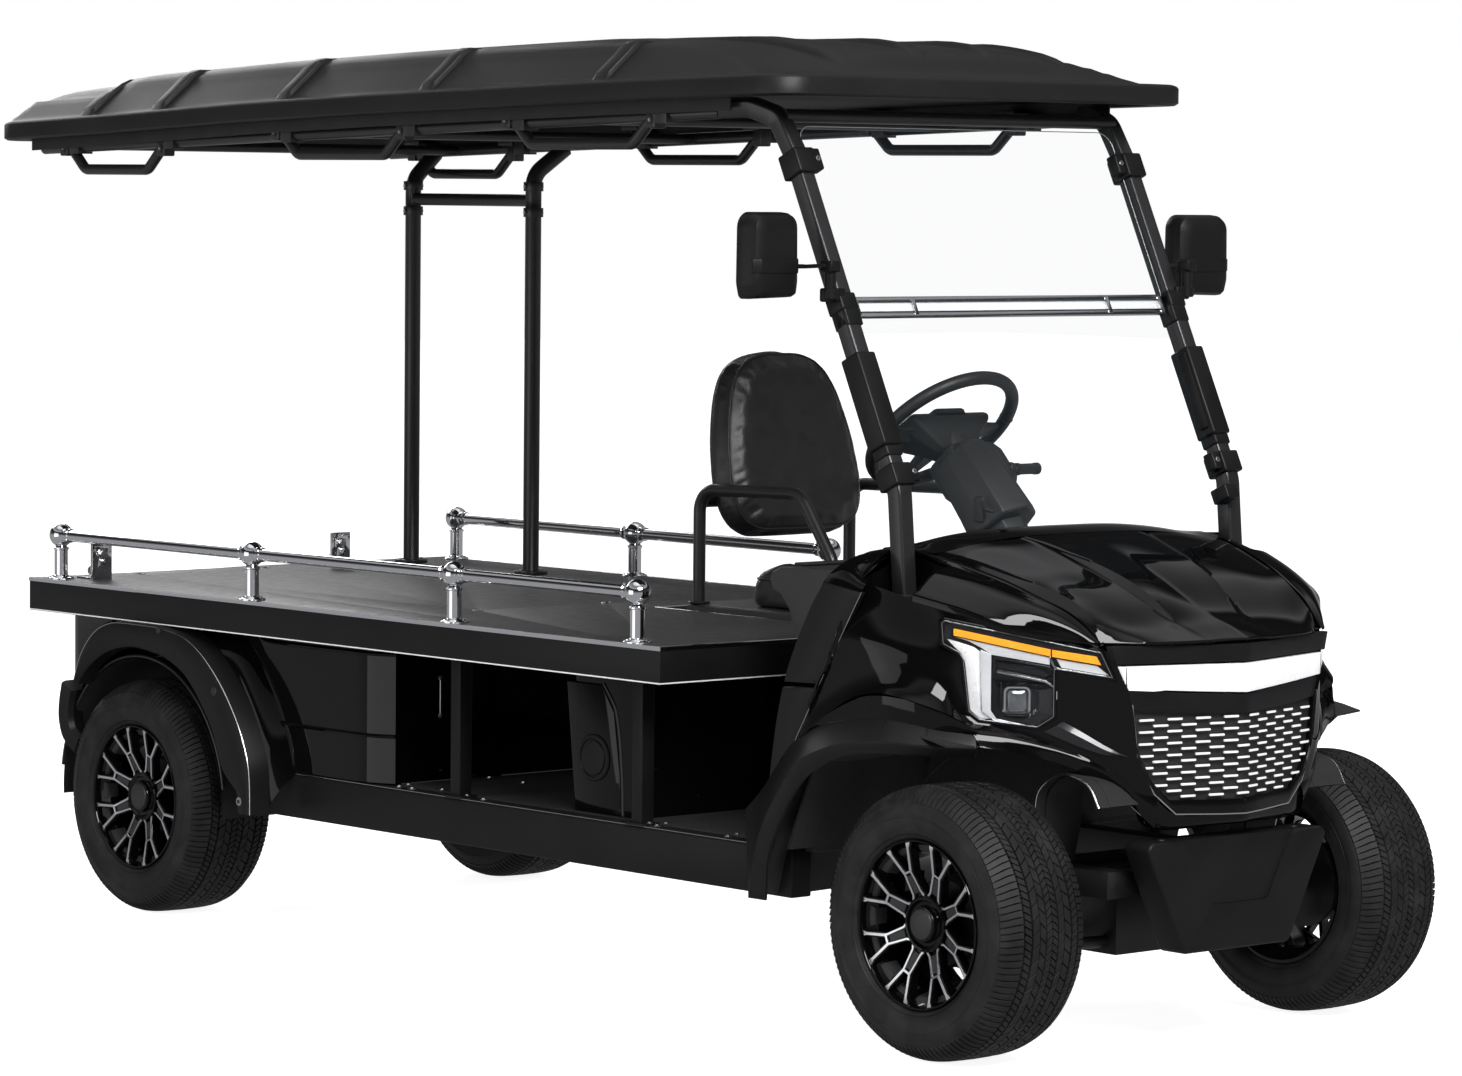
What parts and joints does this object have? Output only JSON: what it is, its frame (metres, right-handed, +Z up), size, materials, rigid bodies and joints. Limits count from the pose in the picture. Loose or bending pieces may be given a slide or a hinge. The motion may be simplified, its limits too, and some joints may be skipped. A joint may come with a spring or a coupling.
{
  "type": "open-sided electric cart hearse",
  "caption": "Canopied electric cart hearse with one driver's seat, a folding two-pane windshield and a long flat casket deck with polished side rails; the wheels roll and steer.",
  "frame": {"origin": "on the ground under the middle of the vehicle's bounding box", "axes": "+Z up, -Y towards the nose, +X towards the vehicle's left side"},
  "size_m": [1.4812, 3.8461, 2.1639],
  "materials": {
    "body_gloss": "high gloss black lacquer",
    "trim_plastic": "fine grained dark grey moulded plastic",
    "liner_plastic": "rough black moulded plastic",
    "cabin_plastic": "leather-grained black moulded plastic",
    "frame_paint": "satin black chassis paint",
    "tube_black": "satin black powder coat",
    "roof_plastic": "textured black moulded canopy",
    "floor_mat": "ribbed black rubber mat",
    "deck_panel": "dark speckled deck with bright edge line",
    "chrome": "polished chrome",
    "silver_band": "satin silver white",
    "grille_mesh": "black mesh with bright dashes",
    "lamp_clear": "clear lamp cover over a dark housing",
    "lamp_red": "red lens",
    "glass": "pale clear glass",
    "bright_strip": "bright anodised strip",
    "mirror": "mirror",
    "leather": "black stitched leather",
    "wheel_grip": "soft wrapped grip",
    "battery_case": "plain case",
    "tyre": "black rubber",
    "rim_alloy": "machined spokes on gloss black"
  },
  "bodies": {
    "chassis": {"armrests": "tube_black", "battery_pack": "battery_case", "bier_stops": "chrome", "chassis_frame": "frame_paint", "dashboard": "cabin_plastic", "deck": "deck_panel", "deck_posts": "trim_plastic", "deck_rails": "chrome", "floor_pan": "floor_mat", "front_bumper": "trim_plastic", "front_cowl": "body_gloss", "front_flares": "trim_plastic", "front_suspension": "frame_paint", "grab_handles": "tube_black", "grille": "grille_mesh", "headlights": "lamp_clear", "hood": "body_gloss", "mirror_glass": "mirror", "mirrors": "trim_plastic", "nose_band": "silver_band", "pedals": "cabin_plastic", "rear_axle": "frame_paint", "rear_body": "body_gloss", "rear_flares": "trim_plastic", "rear_posts": "tube_black", "rear_springs": "frame_paint", "roof": "roof_plastic", "roof_rails": "tube_black", "seat_back": "leather", "seat_base": "cabin_plastic", "seat_cushion": "leather", "seat_pedestal": "body_gloss", "side_sills": "trim_plastic", "steering_column": "cabin_plastic", "tail_lights": "lamp_red", "wheel_liners": "liner_plastic", "windshield": "glass", "windshield_frame": "tube_black", "windshield_hinge": "bright_strip"},
    "front_left_knuckle": {"front_left_knuckle": "frame_paint"},
    "front_right_knuckle": {"front_right_knuckle": "frame_paint"},
    "steering_wheel": {"steering_wheel": "wheel_grip"},
    "front_left_wheel": {"front_left_tyre": "tyre", "front_left_rim": "rim_alloy"},
    "front_right_wheel": {"front_right_tyre": "tyre", "front_right_rim": "rim_alloy"},
    "rear_left_wheel": {"rear_left_tyre": "tyre", "rear_left_rim": "rim_alloy"},
    "rear_right_wheel": {"rear_right_tyre": "tyre", "rear_right_rim": "rim_alloy"}
  },
  "joints": [
    {"name": "front_left_steer", "type": "hinge", "parent": "chassis", "child": "front_left_knuckle", "pos_m": [0.455, -1.608, 0.292], "axis": [0, 0, 1], "range_deg": [-28, 28]},
    {"name": "front_left_spin", "type": "hinge", "parent": "front_left_knuckle", "child": "front_left_wheel", "pos_m": [0.5515, -1.608, 0.292], "axis": [1, 0, 0], "continuous": true},
    {"name": "rear_left_spin", "type": "hinge", "parent": "chassis", "child": "rear_left_wheel", "pos_m": [0.5515, 1.24, 0.292], "axis": [1, 0, 0], "continuous": true},
    {"name": "front_right_steer", "type": "hinge", "parent": "chassis", "child": "front_right_knuckle", "pos_m": [-0.455, -1.608, 0.292], "axis": [0, 0, 1], "range_deg": [-28, 28]},
    {"name": "front_right_spin", "type": "hinge", "parent": "front_right_knuckle", "child": "front_right_wheel", "pos_m": [-0.5515, -1.608, 0.292], "axis": [1, 0, 0], "continuous": true},
    {"name": "rear_right_spin", "type": "hinge", "parent": "chassis", "child": "rear_right_wheel", "pos_m": [-0.5515, 1.24, 0.292], "axis": [1, 0, 0], "continuous": true},
    {"name": "steering_wheel_turn", "type": "hinge", "parent": "chassis", "child": "steering_wheel", "pos_m": [0.3, -0.658, 1.266], "axis": [0, 0.682, 0.7314], "range_deg": [-280, 280]}
  ],
  "couplings": [
    {"joint": "front_right_steer", "follows": "front_left_steer", "ratio": 1},
    {"joint": "steering_wheel_turn", "follows": "front_left_steer", "ratio": 10}
  ]
}
